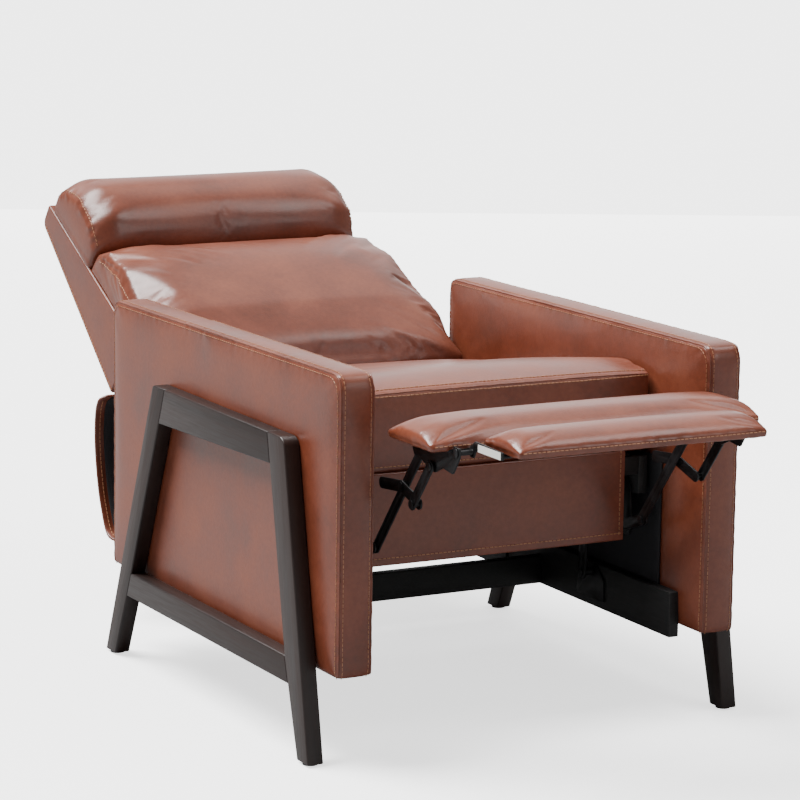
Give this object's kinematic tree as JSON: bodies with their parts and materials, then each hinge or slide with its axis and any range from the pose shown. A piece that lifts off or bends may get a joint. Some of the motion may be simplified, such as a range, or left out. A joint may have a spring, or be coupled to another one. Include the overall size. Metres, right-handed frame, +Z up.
{
  "type": "recliner armchair",
  "caption": "Push-back recliner armchair with slanted dark wooden side frames, upholstered arms, reclining back with headrest and a fold-out two-pad footrest on steel links.",
  "frame": {"origin": "on the floor, under the middle of the chair's box as it stands reclined with its footrest out", "axes": "+Z up, the sitter faces -Y, +X is the sitter's left"},
  "size_m": [0.77, 1.6611, 0.7464],
  "materials": {
    "espresso_wood": "satin",
    "brown_leather": "satin",
    "leather_over_foam": "satin",
    "board": "matte",
    "black_board": "matte",
    "black_steel": "satin",
    "spring_steel": "satin",
    "black_cloth": "matte",
    "black_plastic": "matte",
    "white_label": "matte"
  },
  "bodies": {
    "base": {"left_front_leg": "espresso_wood", "left_rear_leg": "espresso_wood", "left_top_rail": "espresso_wood", "left_lower_rail": "espresso_wood", "left_arm_cover": "leather_over_foam", "left_arm_frame": "board", "left_base_rail": "black_board", "right_front_leg": "espresso_wood", "right_rear_leg": "espresso_wood", "right_top_rail": "espresso_wood", "right_lower_rail": "espresso_wood", "right_arm_cover": "leather_over_foam", "right_arm_frame": "board", "right_base_rail": "black_board", "frame_spacers": "black_plastic", "foot_glides": "black_plastic", "arm_dust_covers": "black_cloth", "cross_rails": "black_board", "base_plates": "black_steel"},
    "seat": {"left_seat_plate": "black_steel", "left_seat_rail": "board", "right_seat_plate": "black_steel", "right_seat_rail": "board", "seat_front_rail": "board", "seat_rear_rail": "board", "seat_springs": "spring_steel", "seat_cushion": "leather_over_foam", "front_panel": "brown_leather", "seat_hinge_brackets": "black_steel"},
    "back": {"back_frame": "board", "back_springs": "spring_steel", "back_shell": "brown_leather", "back_cushion": "leather_over_foam", "headrest": "leather_over_foam", "back_hinge_plates": "black_steel"},
    "skirt": {"rear_skirt": "brown_leather", "skirt_lining": "black_cloth"},
    "ottoman": {"left_ottoman_bracket": "black_steel", "right_ottoman_bracket": "black_steel", "ottoman_board": "board", "ottoman_pad": "leather_over_foam"},
    "flipper": {"flipper_board": "board", "flipper_pad": "leather_over_foam", "flipper_plates": "black_steel", "blank_label": "white_label"},
    "left_front_swing": {"left_front_swing_link": "black_steel"},
    "left_rear_swing": {"left_rear_swing_link": "black_steel"},
    "left_rear": {"left_rear_link": "black_steel"},
    "left_long": {"left_long_link": "black_steel"},
    "left_cross": {"left_cross_link": "black_steel"},
    "left_short": {"left_short_link": "black_steel"},
    "right_front_swing": {"right_front_swing_link": "black_steel"},
    "right_rear_swing": {"right_rear_swing_link": "black_steel"},
    "right_rear": {"right_rear_link": "black_steel"},
    "right_long": {"right_long_link": "black_steel"},
    "right_cross": {"right_cross_link": "black_steel"},
    "right_short": {"right_short_link": "black_steel"}
  },
  "joints": [
    {"name": "seat_glide", "type": "hinge", "parent": "base", "child": "left_front_swing", "pos_m": [0, -0.2398, 0.18034], "axis": [1, 0, 0], "range_deg": [0, 35]},
    {"name": "seat_pivot", "type": "hinge", "parent": "left_front_swing", "child": "seat", "pos_m": [0, -0.24765, 0.27], "axis": [1, 0, 0], "range_deg": [-35.01, 0]},
    {"name": "left_rear_swing_pivot", "type": "hinge", "parent": "base", "child": "left_rear_swing", "pos_m": [0, 0.0802, 0.18034], "axis": [1, 0, 0], "range_deg": [0, 35.01]},
    {"name": "right_front_swing_pivot", "type": "hinge", "parent": "base", "child": "right_front_swing", "pos_m": [0, -0.2398, 0.18034], "axis": [1, 0, 0], "range_deg": [0, 35.01]},
    {"name": "right_rear_swing_pivot", "type": "hinge", "parent": "base", "child": "right_rear_swing", "pos_m": [0, 0.0802, 0.18034], "axis": [1, 0, 0], "range_deg": [0, 35.01]},
    {"name": "back_recline", "type": "hinge", "parent": "seat", "child": "back", "pos_m": [0, 0.21736, 0.43], "axis": [1, 0, 0], "range_deg": [0, 38.01]},
    {"name": "skirt_hinge", "type": "hinge", "parent": "back", "child": "skirt", "pos_m": [0, 0.51736, 0.389], "axis": [1, 0, 0], "range_deg": [-38.01, 0]},
    {"name": "footrest_fold", "type": "hinge", "parent": "seat", "child": "left_rear", "pos_m": [0, -0.3669, 0.2856], "axis": [1, 0, 0], "range_deg": [0, 45.79]},
    {"name": "right_rear_link_pivot", "type": "hinge", "parent": "seat", "child": "right_rear", "pos_m": [0, -0.3669, 0.2856], "axis": [1, 0, 0], "range_deg": [0, 45.8]},
    {"name": "left_knee_pivot", "type": "hinge", "parent": "left_rear", "child": "left_long", "pos_m": [0, -0.44384, 0.31222], "axis": [1, 0, 0], "range_deg": [-83.8, 0]},
    {"name": "left_cross_pivot", "type": "hinge", "parent": "left_long", "child": "left_cross", "pos_m": [0, -0.53411, 0.4257], "axis": [1, 0, 0], "range_deg": [0, 128.01]},
    {"name": "left_short_pivot", "type": "hinge", "parent": "left_cross", "child": "left_short", "pos_m": [0, -0.58811, 0.4097], "axis": [1, 0, 0], "range_deg": [-128.01, 0]},
    {"name": "right_knee_pivot", "type": "hinge", "parent": "right_rear", "child": "right_long", "pos_m": [0, -0.44384, 0.31222], "axis": [1, 0, 0], "range_deg": [-83.8, 0]},
    {"name": "right_cross_pivot", "type": "hinge", "parent": "right_long", "child": "right_cross", "pos_m": [0, -0.53411, 0.4257], "axis": [1, 0, 0], "range_deg": [0, 128.01]},
    {"name": "right_short_pivot", "type": "hinge", "parent": "right_cross", "child": "right_short", "pos_m": [0, -0.58811, 0.4097], "axis": [1, 0, 0], "range_deg": [-128.01, 0]},
    {"name": "ottoman_pivot", "type": "hinge", "parent": "left_long", "child": "ottoman", "pos_m": [0, -0.58764, 0.493], "axis": [1, 0, 0], "range_deg": [0, 128.01]},
    {"name": "flipper_hinge", "type": "hinge", "parent": "ottoman", "child": "flipper", "pos_m": [0, -0.71164, 0.509], "axis": [1, 0, 0], "range_deg": [0, 180.01]}
  ],
  "couplings": [
    {"joint": "seat_pivot", "follows": "seat_glide", "ratio": -1},
    {"joint": "left_rear_swing_pivot", "follows": "seat_glide", "ratio": 1},
    {"joint": "right_front_swing_pivot", "follows": "seat_glide", "ratio": 1},
    {"joint": "right_rear_swing_pivot", "follows": "seat_glide", "ratio": 1},
    {"joint": "back_recline", "follows": "seat_glide", "ratio": 1.0857},
    {"joint": "skirt_hinge", "follows": "seat_glide", "ratio": -1.0857},
    {"joint": "right_rear_link_pivot", "follows": "footrest_fold", "ratio": 1},
    {"joint": "left_knee_pivot", "follows": "footrest_fold", "ratio": -1.8299},
    {"joint": "left_cross_pivot", "follows": "footrest_fold", "ratio": 2.7954},
    {"joint": "left_short_pivot", "follows": "footrest_fold", "ratio": -2.7954},
    {"joint": "right_knee_pivot", "follows": "footrest_fold", "ratio": -1.8299},
    {"joint": "right_cross_pivot", "follows": "footrest_fold", "ratio": 2.7954},
    {"joint": "right_short_pivot", "follows": "footrest_fold", "ratio": -2.7954},
    {"joint": "ottoman_pivot", "follows": "footrest_fold", "ratio": 2.7954},
    {"joint": "flipper_hinge", "follows": "footrest_fold", "ratio": 3.931}
  ]
}
